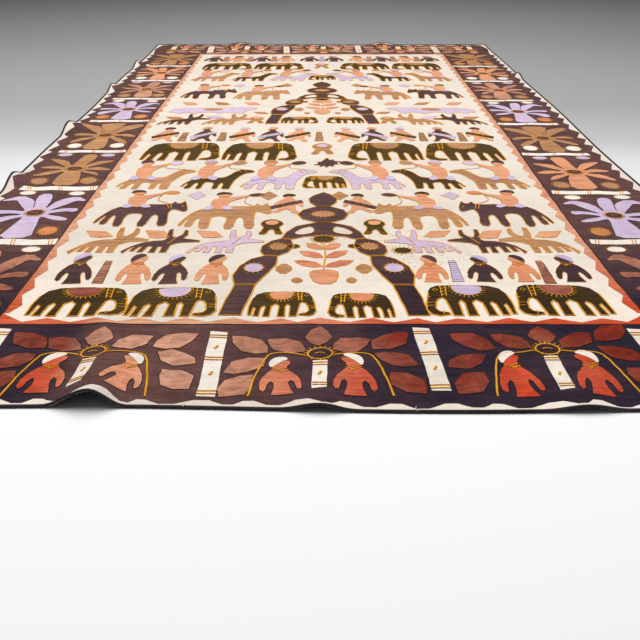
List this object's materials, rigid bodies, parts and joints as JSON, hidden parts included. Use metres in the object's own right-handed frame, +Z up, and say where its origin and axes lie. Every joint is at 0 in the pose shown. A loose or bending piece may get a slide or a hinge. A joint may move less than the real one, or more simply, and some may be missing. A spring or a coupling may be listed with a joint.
{
  "type": "applique kanduri cloth",
  "caption": "Long rectangular applique cotton cloth lying flat, with dark serrated borders, toothed inner strips, arches and rows of animals, its edges lifted in low folds.",
  "frame": {"origin": "on the floor under the middle of the cloth", "axes": "+X across the cloth, +Y along it from the near short edge to the far one, +Z up"},
  "size_m": [2.3, 4.54, 0.0413],
  "materials": {
    "cream_cotton": "plain-weave cotton, washed",
    "aubergine_cotton": "dark plain-weave cotton, faded along the middle",
    "red_cotton": "brick-red plain-weave cotton, faded to salmon",
    "dark_binding": "folded cotton tape",
    "olive_cotton": "dark olive plain-weave cotton",
    "lilac_cotton": "lilac plain-weave cotton",
    "tan_cotton": "tan plain-weave cotton"
  },
  "bodies": {
    "root": {"ground_cloth": "cream_cotton", "binding_near": "dark_binding", "binding_right": "dark_binding", "binding_far": "dark_binding", "binding_left": "dark_binding", "border_near": "aubergine_cotton", "border_far": "aubergine_cotton", "border_left": "aubergine_cotton", "border_right": "aubergine_cotton", "red_strip_near": "red_cotton", "red_strip_far": "red_cotton", "red_strip_left": "red_cotton", "red_strip_right": "red_cotton", "arch_1": "aubergine_cotton", "arch_2": "aubergine_cotton", "elephant_1": "olive_cotton", "elephant_2": "olive_cotton", "elephant_3": "olive_cotton", "elephant_4": "olive_cotton", "elephant_5": "olive_cotton", "elephant_6": "olive_cotton", "elephant_7": "olive_cotton", "elephant_8": "olive_cotton", "elephant_9": "olive_cotton", "elephant_10": "olive_cotton", "elephant_11": "olive_cotton", "elephant_12": "olive_cotton", "elephant_13": "olive_cotton", "elephant_14": "olive_cotton", "elephant_15": "olive_cotton", "elephant_16": "olive_cotton", "horse_1": "lilac_cotton", "horse_2": "lilac_cotton", "horse_3": "olive_cotton", "horse_4": "olive_cotton", "horse_5": "tan_cotton", "horse_6": "tan_cotton", "horse_7": "lilac_cotton", "horse_8": "lilac_cotton", "horse_9": "olive_cotton", "horse_10": "olive_cotton", "horse_11": "tan_cotton", "horse_12": "tan_cotton", "panther_1": "tan_cotton", "panther_2": "tan_cotton", "panther_3": "aubergine_cotton", "panther_4": "aubergine_cotton", "panther_5": "tan_cotton", "panther_6": "tan_cotton", "panther_7": "aubergine_cotton", "panther_8": "aubergine_cotton", "post_1": "cream_cotton", "post_2": "cream_cotton", "post_3": "cream_cotton", "post_4": "cream_cotton", "post_5": "cream_cotton", "post_6": "cream_cotton", "post_7": "cream_cotton", "post_8": "cream_cotton"}
  },
  "joints": []
}
